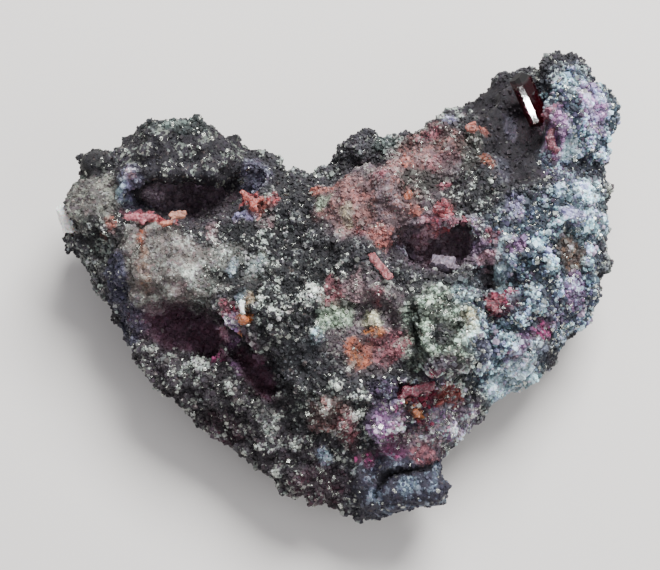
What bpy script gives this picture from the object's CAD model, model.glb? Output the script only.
import math

import bpy
import numpy as np
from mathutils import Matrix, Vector, noise
from mathutils.bvhtree import BVHTree


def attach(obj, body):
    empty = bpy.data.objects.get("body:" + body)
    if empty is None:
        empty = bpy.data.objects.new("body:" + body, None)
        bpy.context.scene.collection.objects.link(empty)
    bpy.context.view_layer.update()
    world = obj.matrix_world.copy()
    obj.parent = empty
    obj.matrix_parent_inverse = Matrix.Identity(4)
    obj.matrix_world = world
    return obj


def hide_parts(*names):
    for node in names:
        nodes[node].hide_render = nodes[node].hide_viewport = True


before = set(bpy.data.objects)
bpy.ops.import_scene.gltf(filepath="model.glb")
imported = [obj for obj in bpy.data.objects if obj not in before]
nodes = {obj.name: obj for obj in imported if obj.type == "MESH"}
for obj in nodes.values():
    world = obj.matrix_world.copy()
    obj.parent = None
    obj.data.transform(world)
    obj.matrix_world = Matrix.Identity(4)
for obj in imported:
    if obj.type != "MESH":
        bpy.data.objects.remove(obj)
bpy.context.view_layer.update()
mm = 0.001
noise.seed_set(8)              # without it the ragged edges would differ from run to run


def deselectAll():
    bpy.ops.object.select_all(action="DESELECT")


def pick(thing):
    deselectAll()
    thing.select_set(True)
    bpy.context.view_layer.objects.active = thing


def applyModifiers(thing):
    pick(thing)
    for modifier in list(thing.modifiers):
        bpy.ops.object.modifier_apply(modifier=modifier.name)


def newPiece(name, mesh):
    piece = bpy.data.objects.new(name, mesh.copy())
    bpy.context.scene.collection.objects.link(piece)
    piece.data.materials.clear()
    return piece


def copyOfSolid(name, node):
    # the triangles of a solid don't share their corners, so those are merged
    piece = newPiece(name, nodes[node].data)
    pick(piece)
    bpy.ops.object.mode_set(mode="EDIT")
    bpy.ops.mesh.select_all(action="SELECT")
    bpy.ops.mesh.remove_doubles(threshold=1e-6)
    bpy.ops.object.mode_set(mode="OBJECT")
    return piece


def addFineGrid(thing, voxel):
    grid = thing.modifiers.new("fineGrid", "REMESH")
    grid.mode = "VOXEL"
    grid.voxel_size = voxel * mm


def triangleCount(thing):
    thing.data.calc_loop_triangles()
    return len(thing.data.loop_triangles)


def linear(code):
    # "rrggbb" as the shader wants it
    levels = [int(code[i:i + 2], 16) / 255 for i in (0, 2, 4)]
    return tuple(v / 12.92 if v < 0.04045 else ((v + 0.055) / 1.055) ** 2.4 for v in levels)


def opaque(code):
    return (*linear(code), 1)


def smooth(value):
    value = np.clip(value, 0, 1)
    return value * value * (3 - 2 * value)


# the rock ground: how dark it is, what dusts it, and how worn

stoneFinishes = {
    # ground and pale are the two sorts of grain, dust is the share of pale ones,
    # calm is 1 where the face carries few loose grains, smooth is 1 where it is worn or glassy,
    # glint is the share of grains that flash, coarse is how large the grains are,
    # tint is how far single grains stray towards green, blue, lilac or pink
    "charcoal": dict(ground="38363a", pale="838781", dust=0.22, calm=0.0, smooth=0.0, glint=0.04,
                     coarse=1.0, tint=0.4),
    "domeStone": dict(ground="242226", pale="6e726b", dust=0.14, calm=0.35, smooth=0.8,
                      coarse=0.72),
    "ballStone": dict(ground="1a191b", pale="3d3f3d", dust=0.12, calm=0.75, smooth=0.9, coarse=0.6),
    "chippedTop": dict(ground="363538", pale="9a9e98", dust=0.34, glint=0.05),
    "lowerStone": dict(ground="332e32", pale="878a84", dust=0.26, glint=0.05),
    "lowPale": dict(ground="4a4949", pale="9ca19a", dust=0.6, glint=0.06),
    "dustyGrey": dict(ground="4e4a48", pale="77776f", dust=0.55, calm=0.2, glint=0.01, coarse=0.7,
                      smooth=0.4),
    "plateGrey": dict(ground="625b58", pale="807e79", dust=0.55, calm=0.1, glint=0.01,
                      coarse=0.65, smooth=0.3),
    "plateSpeckle": dict(ground="72716d", pale="b0b4ad", dust=0.66, glint=0.04, coarse=0.8),
    "mosaic": dict(ground="29292b", pale="b6bbb3", dust=0.45, glint=0.06, coarse=0.9),
    "greenEdge": dict(ground="303534", pale="66706d", dust=0.26, smooth=0.6, glint=0.03),
    "navyDark": dict(ground="3a3846", pale="73727f", dust=0.16, smooth=0.3, glint=0.02),
    "blueDark": dict(ground="4a4755", pale="8f8d9c", dust=0.3, smooth=0.3, glint=0.02),
    "purpleHollow": dict(ground="54474f", pale="7d737a", dust=0.2, calm=0.2, smooth=0.3,
                         glint=0.01),
    "deepHollow": dict(ground="83717c", pale="a2949d", dust=0.2, calm=0.2, glint=0.0),
    "wineHollow": dict(ground="4d3744", pale="66555f", dust=0.08, calm=0.6, smooth=0.5, glint=0.0),
    "shadowBand": dict(ground="232225", pale="646466", dust=0.09, calm=0.3, smooth=0.3,
                       glint=0.03),
    "pinkStone": dict(ground="51464a", pale="7c7471", dust=0.36, calm=0.1, glint=0.02,
                      coarse=0.8, smooth=0.3),
    "greyLilac": dict(ground="5a5157", pale="7d777c", dust=0.5, calm=0.2, glint=0.01, coarse=0.8,
                      smooth=0.3),
    "oliveGlint": dict(ground="3a3735", pale="92918a", dust=0.32, glint=0.07),
    "glassTrough": dict(ground="1c191d", pale="37343a", dust=0.12, calm=0.85, smooth=0.75,
                        glint=0.0),
    "troughGrey": dict(ground="474550", pale="5f5d6a", dust=0.2, calm=0.8, smooth=0.75, glint=0.0),
    "silverLobe": dict(ground="444955", pale="b0c4d2", dust=0.55, glint=0.12, coarse=1.2, tint=1.0),
    "mintLobe": dict(ground="5c666d", pale="b7cdd8", dust=0.66, glint=0.1, coarse=1.1, tint=0.8),
    "blueWhite": dict(ground="676f7e", pale="bacddd", dust=0.66, glint=0.08, coarse=1.1, tint=0.7),
    "yellowGreen": dict(ground="474d46", pale="a2b3a1", dust=0.6, glint=0.08, coarse=1.0),
    "oliveSmooth": dict(ground="2f272a", pale="544b46", dust=0.25, calm=0.6, smooth=0.6,
                        glint=0.0),
    "steelBlock": dict(ground="282631", pale="5b616e", dust=0.22, calm=0.5, smooth=0.95,
                       glint=0.02, coarse=0.8),
    "steelStreak": dict(ground="434c5a", pale="7f8c98", dust=0.5, calm=0.6, smooth=0.9, glint=0.05),
    "blockShade": dict(ground="131116", pale="2e2c34", dust=0.1, calm=0.8, smooth=0.8, glint=0.0),
    "valleyGrey": dict(ground="222225", pale="5e5e61", dust=0.15, calm=0.5, smooth=0.4,
                       glint=0.01),
    "toeStone": dict(ground="4c434f", pale="c0c5c4", dust=0.46, glint=0.14, tint=1.0),
    "blueBand": dict(ground="24252d", pale="6e747d", dust=0.25, glint=0.06, tint=0.8),
    "toeGlint": dict(ground="8f808d", pale="d4d8dc", dust=0.5, glint=0.16, tint=1.0),
    "hollowPink": dict(ground="c4a2af", pale="d4bac3", dust=0.2, glint=0.0),
    "lilacGlint": dict(ground="8f8296", pale="dedde6", dust=0.5, glint=0.14, tint=1.0),
    "creamSpot": dict(ground="aaa892", pale="d2d2be", dust=0.7, glint=0.04),
    "whiteSpot": dict(ground="9caab3", pale="cedfe7", dust=0.8, glint=0.1, tint=0.6),
    "blackPit": dict(ground="1c191e", pale="3e3a40", dust=0.06, calm=0.6, smooth=0.3, glint=0.0),
}

# finish, x, y, half width, half depth, turn in degrees, how strong and sometimes the height,
# all in mm seen from above. A later row lies over the earlier ones
stoneZones = [
    # the whole top and the lower left slope
    ("chippedTop", 0, 0, 44, 34, 0, 0.6),
    ("lowerStone", -22, -22, 26, 14, -38, 1.0),
    # the dome, its left end and the hollow under it
    ("domeStone", -24.5, 18.5, 13.5, 10.0, 0, 1.0),
    ("greenEdge", -25.5, 22.5, 5.5, 2.2, -8, 0.8),
    ("charcoal", -36.5, 17.0, 2.0, 2.4, 0, 1.0),
    ("dustyGrey", -38.8, 11.4, 4.8, 5.0, 0, 1.0),
    ("ballStone", -39.2, 18.9, 2.7, 2.7, 0, 1.0),
    ("blueDark", -32, 12.4, 2.4, 2.8, 20, 0.9),
    ("lilacGlint", -32.2, 13.8, 0.9, 0.8, 0, 0.8),
    ("whiteSpot", -34.0, 12.1, 1.0, 1.2, 0, 0.9),
    ("mosaic", -38.5, 6.7, 1.6, 1.4, 0, 0.8),
    ("purpleHollow", -22.5, 9.6, 8.2, 3.0, 0, 0.3),
    ("deepHollow", -22.4, 15.0, 10.0, 5.5, 0, 1.0, 13),
    # the plate and the speckled ground right of it
    ("plateGrey", -29, 0.6, 6.4, 7.0, 0, 1.0),
    ("plateGrey", -22, -1.5, 6.5, 4.5, -10, 0.9),
    ("plateSpeckle", -20.0, -3.2, 4.6, 2.0, -8, 0.9),
    ("mosaic", -12.0, 0.0, 8.0, 7.5, 0, 1.0),
    ("plateSpeckle", -17.4, 1.2, 3.2, 2.4, 30, 0.7),
    ("whiteSpot", -16.4, -0.7, 0.7, 1.5, 0, 0.8),
    ("creamSpot", -12.4, -0.9, 1.3, 2.0, 0, 0.6),
    ("whiteSpot", -12.4, -0.9, 1.2, 1.8, 0, 0.6),
    ("plateSpeckle", -12.0, -2.8, 2.6, 2.2, 0, 0.6),
    ("mosaic", -7.0, -6.5, 7.5, 6.0, 0, 0.9),
    ("blueDark", -12.8, 15.4, 2.6, 2.4, 0, 1.0),
    ("lilacGlint", -14.9, 8.0, 1.8, 0.9, 0, 1.0),
    ("lowPale", -37.4, 3.6, 3.8, 2.4, 0, 0.8),
    ("navyDark", -34.8, -0.5, 1.9, 4.2, 10, 1.0),
    # the saddle
    ("shadowBand", -4.5, 9.5, 2.4, 4.5, 30, 1.0),
    ("shadowBand", -6.6, -0.8, 2.4, 3.9, -20, 1.0),
    ("shadowBand", -9.4, 2.6, 1.8, 1.6, 0, 0.8),
    ("shadowBand", -1.2, 4.0, 2.6, 5.0, 28, 1.0),
    ("shadowBand", 3.0, -0.9, 2.6, 4.0, 40, 0.9),
    ("charcoal", 3.7, 20.4, 4.0, 4.0, 0, 1.0),
    ("shadowBand", 3.6, 16.4, 3.2, 3.4, 0, 0.9),
    ("greenEdge", 7.6, 21.2, 2.0, 1.4, 0, 0.9),
    # the boss
    ("pinkStone", 8.6, 11.0, 11.5, 8.0, 18, 1.0),
    ("pinkStone", 1.6, 8.8, 4.6, 5.2, 0, 1.0),
    ("greyLilac", 7.4, 8.6, 2.4, 3.6, 0, 0.9),
    ("oliveGlint", 12.8, 12.6, 3.4, 2.4, 10, 0.9),
    ("oliveGlint", 20.6, 17.6, 2.2, 4.2, 0, 0.9),
    ("oliveGlint", 11.6, 11.2, 2.4, 2.4, 0, 0.7),
    ("mosaic", 20.5, 9.5, 5.0, 4.0, 0, 0.7),
    # the lobe and the trough beside it
    ("silverLobe", 37.5, 22.0, 8.0, 11.0, 0, 1.0),
    ("lilacGlint", 33.9, 20.4, 1.9, 3.6, 0, 1.0),
    ("charcoal", 33.4, 31.0, 2.4, 2.4, 0, 0.6),
    ("mintLobe", 36.4, 28.4, 2.2, 2.6, 0, 0.7),
    ("blueWhite", 40.6, 24.6, 2.2, 2.8, 0, 0.5),
    ("glassTrough", 26.8, 24.4, 5.8, 10.5, 12, 1.0),
    ("glassTrough", 28.4, 15.0, 3.4, 3.6, 0, 0.9),
    ("troughGrey", 27.4, 25.0, 1.2, 2.2, 0, 0.6),
    ("troughGrey", 25.6, 14.8, 1.6, 2.4, 0, 0.3),
    ("mintLobe", 38.6, 9.8, 5.0, 5.2, 0, 1.0),
    ("whiteSpot", 36.0, 18.6, 1.9, 1.8, 0, 1.0),
    ("blueBand", 38.9, 15.6, 4.6, 2.0, 0, 1.0),
    # the right flank
    ("silverLobe", 32.0, 1.0, 10.5, 9.5, 0, 1.0),
    ("blueWhite", 25.8, -0.2, 1.3, 4.6, 0, 1.0),
    ("mintLobe", 36.0, 4.6, 3.6, 2.0, 0, 0.6),
    ("blueDark", 36.1, 7.0, 1.9, 1.3, 0, 0.6),
    ("lilacGlint", 27.2, 7.9, 1.3, 2.1, 0, 0.8),
    ("silverLobe", 36.6, -5.0, 6.0, 7.0, 20, 1.0),
    ("oliveGlint", 35.8, 2.0, 2.8, 2.4, 0, 0.8),
    # the middle hollow and its rim
    ("purpleHollow", 14.6, 2.4, 8.2, 4.4, 0, 1.0),
    ("shadowBand", 10.6, 0.6, 2.6, 3.6, 20, 0.8),
    ("deepHollow", 15.0, 4.0, 8.0, 4.5, 0, 0.9, 20),
    ("hollowPink", 12.7, 4.8, 1.4, 1.2, 0, 0.9, 23),
    ("hollowPink", 14.0, 5.4, 1.6, 1.0, 0, 1.0, 26),
    ("blueDark", 10.6, 2.8, 1.6, 1.4, 0, 0.6),
    ("hollowPink", 22.9, 0.6, 1.6, 0.8, 0, 1.0),
    ("blackPit", 23.4, -2.0, 1.7, 2.0, 0, 1.0),
    ("toeGlint", 20.7, 5.2, 1.2, 1.5, 0, 0.9),
    ("whiteSpot", 25.5, -0.3, 1.4, 4.4, 0, 1.0),
    ("lilacGlint", 26.9, 1.6, 1.2, 1.2, 0, 0.8),
    # below the saddle, as far as the nodule
    ("pinkStone", 4.0, -10.5, 6.5, 7.5, 0, 0.8),
    ("creamSpot", 5.2, -9.2, 1.4, 0.9, 0, 1.0),
    ("mosaic", -4.0, -4.0, 5.0, 5.0, 0, 0.8),
    ("yellowGreen", -0.6, -8.8, 3.2, 2.2, 30, 0.9),
    ("mintLobe", -3.6, -12.6, 1.3, 2.4, -20, 0.7),
    ("yellowGreen", 15.6, -12.0, 6.0, 7.0, 0, 1.0),
    ("creamSpot", -13.6, -6.4, 0.9, 1.3, 0, 0.5),
    ("mintLobe", 19.0, -6.2, 1.9, 2.2, 0, 0.6),
    ("blackPit", 11.3, -13.6, 0.6, 4.2, 4, 0.6),
    ("charcoal", 15.0, -13.2, 1.8, 1.6, 0, 0.8),
    ("oliveSmooth", 15.4, -18.4, 4.2, 1.7, -5, 0.9),
    # the lower right flank
    ("silverLobe", 25.0, -12.0, 6.5, 6.5, 30, 0.9),
    ("blueBand", 24.6, -6.6, 3.0, 2.2, 10, 0.9),
    ("mintLobe", 27.6, -15.8, 5.6, 2.8, 32, 1.0),
    ("whiteSpot", 27.2, -15.8, 4.8, 1.7, 32, 0.8),
    ("navyDark", 21.8, -15.0, 1.5, 1.3, 0, 0.8),
    ("navyDark", 31.6, -12.8, 2.0, 1.0, 20, 0.7),
    ("blueBand", 31.6, -9.4, 1.9, 1.4, 0, 0.6),
    # the toe
    ("toeStone", 13.6, -22.8, 8.6, 5.4, 5, 0.9),
    ("blueBand", 7.2, -20.0, 2.8, 2.2, 0, 1.0),
    ("toeGlint", 17.6, -22.4, 4.6, 2.6, 8, 1.0),
    ("lilacGlint", 6.8, -24.2, 2.4, 2.2, 0, 0.9),
    # the valley, the hollow under the plate and the slope below
    ("valleyGrey", -5.7, -16.0, 4.2, 3.6, 0, 0.9),
    ("shadowBand", -2.6, -15.6, 3.6, 1.1, 0, 0.8),
    ("wineHollow", -24.4, -8.0, 8.6, 3.2, -12, 1.0, 16),
    ("navyDark", -32.6, -7.4, 2.4, 3.0, 10, 0.9),
    ("lilacGlint", -16.6, -9.4, 1.6, 1.2, 0, 1.0),
    ("hollowPink", -18.1, -8.3, 1.0, 1.2, 0, 0.9, 16),
    ("wineHollow", -13.2, -15.5, 1.8, 5.0, 35, 1.0),
    ("mosaic", -2.0, -22.5, 6.0, 4.0, 0, 0.7),
    ("lowPale", -22.3, -14.4, 2.2, 1.3, -10, 0.8),
    ("lowPale", -17.2, -17.9, 1.0, 1.1, 0, 0.8),
    ("lowPale", -10.5, -23.4, 1.7, 1.8, 0, 0.9),
    ("lowPale", -12.8, -21.5, 1.2, 1.3, 0, 0.7),
    ("lowPale", -5.6, -21.6, 1.7, 1.2, 0, 0.8),
    ("lowPale", -1.0, -21.6, 2.6, 1.4, 0, 0.8),
    ("blueWhite", -2.1, -28.6, 1.1, 0.9, 0, 0.8),
    # the foot block
    ("steelBlock", 10.0, -32.4, 8.4, 6.0, 8, 1.0),
    ("blockShade", 9.0, -31.2, 4.8, 0.9, 16, 0.8),
    ("steelStreak", 10.7, -33.3, 1.6, 1.2, 0, 0.9),
    ("steelStreak", 5.6, -34.3, 1.5, 0.8, 10, 0.8),
    ("steelStreak", 14.6, -31.4, 0.8, 2.4, 0, 0.6),
    # one small spot that no other may cover
    ("whiteSpot", -14.9, -6.4, 0.7, 0.9, 0, 1.0),
]

# the coloured films of realgar, orpiment and tarnish that lie on the grains

filmFinishes = {
    # share is how many grains take the colour, crust how thickly small prisms grow there,
    # fade is how far it clears the films under it
    "noFilm": dict(colour="5f504a", share=0.0, crust=0.0),
    "realgarRed": dict(colour="a0474a", share=0.6, crust=0.9, fade=0.5),
    "realgarOrange": dict(colour="a86457", share=0.55, crust=0.5),
    "brightOrange": dict(colour="b5703f", share=0.75, crust=0.4),
    "softOrange": dict(colour="9c5842", share=0.7, crust=0.1),
    "pinkRed": dict(colour="9a5562", share=0.55, crust=0.3),
    "dustyPink": dict(colour="875f5b", share=0.5, crust=0.05),
    "palePink": dict(colour="97797d", share=0.45, crust=0.0),
    "rose": dict(colour="824f56", share=0.75, crust=0.0),
    "crimson": dict(colour="7c2238", share=0.75, crust=0.5),
    "magenta": dict(colour="8e3564", share=0.6, crust=0.1),
    "deepWine": dict(colour="3a1b28", share=0.6, crust=0.0),
    "lilac": dict(colour="8b87ab", share=0.55, crust=0.0),
    "violet": dict(colour="57425e", share=0.55, crust=0.0),
    "lilacPink": dict(colour="b385b5", share=0.65, crust=0.0),
    "salmon": dict(colour="b36f68", share=0.75, crust=0.1),
    "tan": dict(colour="9a7f68", share=0.75, crust=0.0),
    "ruby": dict(colour="a83c55", share=0.8, crust=0.1),
    "paleYellow": dict(colour="bdb795", share=0.5, crust=0.0),
    "paleGreen": dict(colour="a0b49c", share=0.65, crust=0.0),
    "rust": dict(colour="7d6252", share=0.45, crust=0.0),
    "rustRed": dict(colour="7c3a32", share=0.8, crust=0.1),
    "bare": dict(colour="4a4547", share=0.0, crust=0.0, fade=1.0),
}

filmMixing = {
    "older": 0.6,              # how well the films under a new one hold against it
    "least": 1e-3,             # a film weaker than this leaves the colour alone
    "fade": 0.5,
}

# laid out as the zones are
filmSpots = [
    # the dome and the ledge under it
    ("palePink", -32.2, 13.8, 0.9, 0.9, 0, 1.0),
    ("lilac", -33.4, 12.0, 1.0, 0.9, 0, 1.0),
    ("pinkRed", -31.4, 8.6, 2.4, 1.0, -20, 1.0),
    ("realgarRed", -28.6, 7.5, 3.0, 1.0, -8, 1.0),
    # the plate
    ("realgarOrange", -36.1, 7.4, 1.0, 1.3, 0, 0.7),
    ("softOrange", -30.4, 3.6, 0.8, 2.4, 0, 0.5),
    ("rust", -30.2, -0.8, 1.3, 3.2, 0, 0.8),
    ("palePink", -19.6, 5.6, 0.9, 2.4, 0, 0.7),
    ("palePink", -24.4, -4.2, 1.3, 1.0, 0, 0.6),
    # right of the dome
    ("realgarRed", -14.0, 11.4, 1.6, 1.2, 20, 1.0),
    ("realgarRed", -11.2, 9.8, 2.2, 1.0, 40, 0.8),
    ("realgarOrange", -12.8, 9.0, 1.4, 1.5, -50, 0.8),
    ("lilac", -14.9, 8.0, 1.9, 0.9, 0, 0.9),
    ("palePink", -11.6, 6.6, 1.6, 1.0, 0, 0.4),
    # the saddle and the boss
    ("dustyPink", 1.2, 8.8, 4.6, 5.0, 0, 1.0),
    ("bare", -1.8, 3.6, 1.6, 3.4, 28, 1.0),
    ("paleYellow", 1.4, 6.4, 1.0, 1.5, 0, 0.7),
    ("paleGreen", -2.8, 9.4, 1.1, 1.1, 0, 1.0),
    ("realgarOrange", -2.4, 12.0, 2.2, 1.1, 0, 0.9),
    ("salmon", 3.6, 9.8, 2.0, 1.1, 8, 0.9),
    ("dustyPink", 8.6, 10.8, 3.6, 6.4, 0, 0.5),
    ("salmon", 6.2, 3.2, 2.0, 1.5, 10, 0.9),
    ("realgarRed", 3.2, 4.2, 0.8, 0.9, 0, 0.8),
    ("pinkRed", 6.6, 13.0, 1.1, 1.1, 0, 0.8),
    ("dustyPink", 14.3, 18.4, 5.2, 4.4, 10, 0.8),
    ("realgarOrange", 10.4, 16.4, 1.5, 1.3, 0, 0.8),
    ("rose", 14.8, 15.2, 1.7, 1.3, 20, 0.8),
    ("bare", 12.8, 12.7, 2.8, 2.0, 10, 0.7),
    ("pinkRed", 14.6, 21.2, 2.4, 1.0, 10, 0.7),
    ("rose", 17.6, 17.0, 1.4, 2.0, 0, 0.6),
    ("lilac", 17.5, 24.2, 1.3, 0.9, 0, 0.8),
    ("realgarOrange", 22.2, 22.2, 1.3, 0.9, 0, 0.7),
    ("softOrange", 22.9, 15.6, 1.2, 1.5, 0, 0.7),
    ("pinkRed", 16.3, 11.4, 1.1, 0.9, 0, 0.9),
    # the middle hollow and its rim
    ("realgarOrange", 11.5, 7.2, 1.3, 1.0, 0, 1.0),
    ("realgarRed", 16.0, 6.8, 1.7, 1.4, 0, 1.0),
    ("pinkRed", 18.4, 5.2, 2.0, 1.0, 0, 0.6),
    ("ruby", 14.0, 5.3, 1.5, 0.9, 0, 1.0, 26.5),
    ("salmon", 13.7, 5.2, 1.2, 1.0, 0, 1.0, 25),
    ("rose", 12.7, 4.8, 1.3, 1.0, 0, 0.8, 23),
    ("violet", 20.7, 2.2, 2.0, 1.8, 0, 0.8),
    ("deepWine", 14.4, 3.0, 5.4, 2.2, 0, 0.5),
    ("lilac", 27.0, 8.4, 1.3, 2.0, 0, 0.8),
    ("pinkRed", 23.6, 3.2, 1.4, 1.0, 0, 0.5),
    ("lilacPink", 27.0, 1.8, 1.3, 1.3, 0, 0.7),
    ("palePink", 24.0, 0.6, 1.4, 0.8, 0, 0.7),
    ("rose", 22.8, 0.7, 1.3, 0.6, 0, 0.7),
    # the lobe
    ("lilacPink", 39.6, 25.4, 2.2, 4.0, 10, 0.65),
    ("lilac", 40.4, 27.0, 1.4, 1.4, 0, 0.6),
    ("pinkRed", 32.9, 22.6, 1.3, 1.4, 0, 0.8),
    ("lilacPink", 33.9, 20.2, 1.4, 3.2, 0, 0.8),
    ("magenta", 33.6, 17.4, 0.9, 1.2, 0, 0.9),
    ("violet", 34.0, 13.6, 3.2, 1.4, 0, 0.4),
    # the right flank
    ("lilac", 36.1, 7.0, 1.9, 1.3, 0, 1.0),
    ("rust", 36.2, 2.2, 2.2, 2.0, 0, 0.5),
    ("lilacPink", 36.8, -3.0, 1.5, 3.0, 0, 0.4),
    ("magenta", 32.4, -8.4, 1.6, 1.0, 20, 0.35),
    ("violet", 33.6, -6.8, 2.4, 1.4, 0, 0.4),
    ("magenta", 29.6, -11.0, 1.3, 1.3, 0, 0.45),
    ("magenta", 28.0, -13.0, 2.4, 0.8, 25, 0.7),
    ("magenta", 31.6, -9.8, 1.7, 0.8, 30, 0.6),
    ("lilacPink", 28.1, -11.9, 0.9, 1.6, 0, 0.5),
    ("crimson", 24.2, -6.8, 1.6, 1.9, 0, 1.0),
    ("crimson", 26.4, -5.0, 1.2, 0.9, 20, 0.8),
    ("deepWine", 26.0, -8.2, 1.4, 1.6, 0, 0.7),
    ("rose", 22.6, -6.4, 0.8, 0.9, 0, 0.8),
    # below the saddle, as far as the nodule
    ("rose", -0.9, -5.9, 1.8, 2.2, 0, 0.9),
    ("rose", 5.6, -6.2, 1.4, 1.3, 0, 0.6),
    ("palePink", 2.4, -5.2, 1.6, 2.4, 0, 0.6),
    ("paleYellow", 5.2, -9.4, 1.2, 1.0, 0, 1.0),
    ("paleGreen", -0.6, -9.2, 2.6, 1.6, 30, 0.8),
    ("rose", 7.2, -13.6, 3.2, 2.4, 0, 0.9),
    ("brightOrange", 5.3, -11.3, 1.2, 0.9, 0, 0.8),
    ("softOrange", 2.9, -14.6, 2.2, 2.0, 10, 1.0),
    ("brightOrange", 2.2, -15.2, 1.0, 1.0, 0, 0.6),
    ("pinkRed", 8.6, -12.4, 1.2, 1.0, 0, 0.6),
    ("paleYellow", 19.4, -11.0, 1.3, 2.4, 0, 0.5),
    # the hollow under the plate and the slope below
    ("tan", -13.6, -6.4, 0.9, 1.2, 0, 1.0),
    ("brightOrange", -14.2, -9.4, 1.3, 1.0, 0, 1.0),
    ("pinkRed", -16.5, -7.8, 1.7, 0.9, -15, 0.9),
    ("crimson", -15.8, -8.0, 0.6, 0.8, 0, 0.9),
    ("lilacPink", -16.6, -9.6, 1.6, 1.1, 0, 1.0),
    ("ruby", -18.0, -8.4, 0.9, 1.2, 0, 1.0, 16),
    ("magenta", -19.0, -13.2, 1.8, 1.2, -20, 0.4),
    ("lilacPink", -15.8, -15.0, 0.9, 1.8, 20, 0.3),
    ("deepWine", -24.0, -8.0, 8.4, 3.0, -12, 0.5, 17),
    ("deepWine", -13.0, -15.6, 2.0, 5.0, 35, 0.7),
    ("deepWine", -18.4, -23.4, 3.6, 2.0, -25, 0.4),
    ("deepWine", -3.0, -32.4, 4.4, 3.0, 0, 0.5),
    ("dustyPink", -1.4, -23.6, 3.2, 2.0, -15, 0.6),
    ("rose", 1.2, -25.4, 2.2, 1.6, -35, 0.6),
    # the toe
    ("crimson", 12.4, -20.0, 3.4, 1.4, 5, 1.0),
    ("rustRed", 16.9, -19.8, 2.0, 1.2, 0, 1.0),
    ("lilacPink", 6.6, -24.2, 2.2, 2.2, 0, 1.0),
    ("magenta", 8.8, -23.4, 1.0, 1.6, 0, 0.7),
    ("violet", 6.8, -20.4, 2.4, 2.0, 0, 0.4),
    ("brightOrange", 11.6, -22.4, 1.0, 0.8, 0, 0.9),
    ("crimson", 13.0, -23.8, 1.2, 0.9, 0, 0.6),
    ("magenta", 8.4, -27.2, 2.4, 1.8, 0, 0.4),
    ("palePink", 12.6, -26.4, 3.2, 1.6, 0, 0.6),
    ("rose", 12.6, -28.2, 2.2, 1.2, 0, 0.8),
    ("magenta", 4.0, -28.6, 1.6, 1.3, 0, 0.35),
    ("violet", 20.0, -21.6, 3.0, 1.6, 0, 0.4),
]

# rounded knobs that stand on the broad shape: x, y, radius, how far the top rises, in mm
knobs = [
    (-39.0, 18.7, 2.6, 1.7), (-34.1, 18.2, 1.9, 1.0), (-30.0, 16.8, 1.5, 0.8),
    (-26.6, 14.0, 1.7, 0.8), (-22.9, 15.0, 1.6, 0.8), (-29.6, 14.3, 1.7, 0.7),
    (-18.3, 16.8, 1.5, 0.8), (-26.2, 20.9, 1.7, 0.6), (-20.6, 19.6, 1.6, 0.7),
    (-23.8, 17.5, 1.4, 0.7), (-33.1, 12.7, 1.3, 0.7), (-31.6, 14.2, 1.2, 0.7),
    (-19.6, 14.4, 1.5, 0.7), (-36.4, 17.3, 1.4, 0.6),
    (-28.0, 18.9, 1.4, 0.7),
    (-12.6, 15.6, 2.0, 0.8), (-14.4, 16.2, 1.8, 1.0), (3.8, 20.6, 2.7, 0.6), (7.6, 21.2, 1.6, 0.5),
    (9.9, 1.2, 1.6, 0.9), (11.2, -1.6, 1.5, 0.6), (20.6, -0.2, 1.3, 0.7),
    (-0.1, 3.8, 1.9, 0.5), (3.2, -0.9, 2.2, 0.4), (-4.1, 9.0, 1.8, 0.5),
    (15.3, -4.8, 1.6, 0.7), (19.3, -5.9, 1.9, 0.7), (13.4, -7.2, 1.4, 0.6),
    (16.6, -9.0, 1.6, 0.5), (12.7, -11.2, 1.5, 0.7), (13.7, -15.8, 1.6, 0.5),
    (18.4, -13.2, 1.8, 0.4), (16.6, -16.6, 1.6, 0.5), (19.7, -9.7, 1.7, 0.4),
    (37.2, 30.4, 2.3, 0.5), (40.4, 25.6, 2.1, 0.5), (39.2, 21.2, 2.3, 0.5),
    (39.1, 11.8, 2.3, 0.6), (35.8, 6.7, 2.0, 0.5), (33.9, 30.4, 1.6, 0.5),
    (-21.4, -14.6, 1.9, 0.6), (-16.4, -19.0, 1.6, 0.6), (-10.6, -23.6, 1.8, 0.6),
    (-26.4, -14.8, 1.6, 0.5), (-5.6, -22.0, 1.7, 0.5), (-8.0, -27.6, 1.6, 0.5),
    (-16.4, -9.4, 1.6, 0.3),
]

# narrow black cracks: the points they run through, half width and depth, in mm
furrows = [
    ([(5.4, -34.4), (7.2, -32.0), (9.3, -30.9), (12.4, -30.5), (15.1, -28.9)], 0.5, 1.2),
    ([(11.3, -8.1), (11.5, -11.6), (11.9, -15.5), (13.2, -18.3)], 0.38, 1.0),
    ([(-15.2, -13.2), (-13.4, -15.8), (-11.9, -17.8), (-9.4, -18.6)], 0.7, 0.9),
]

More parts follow.
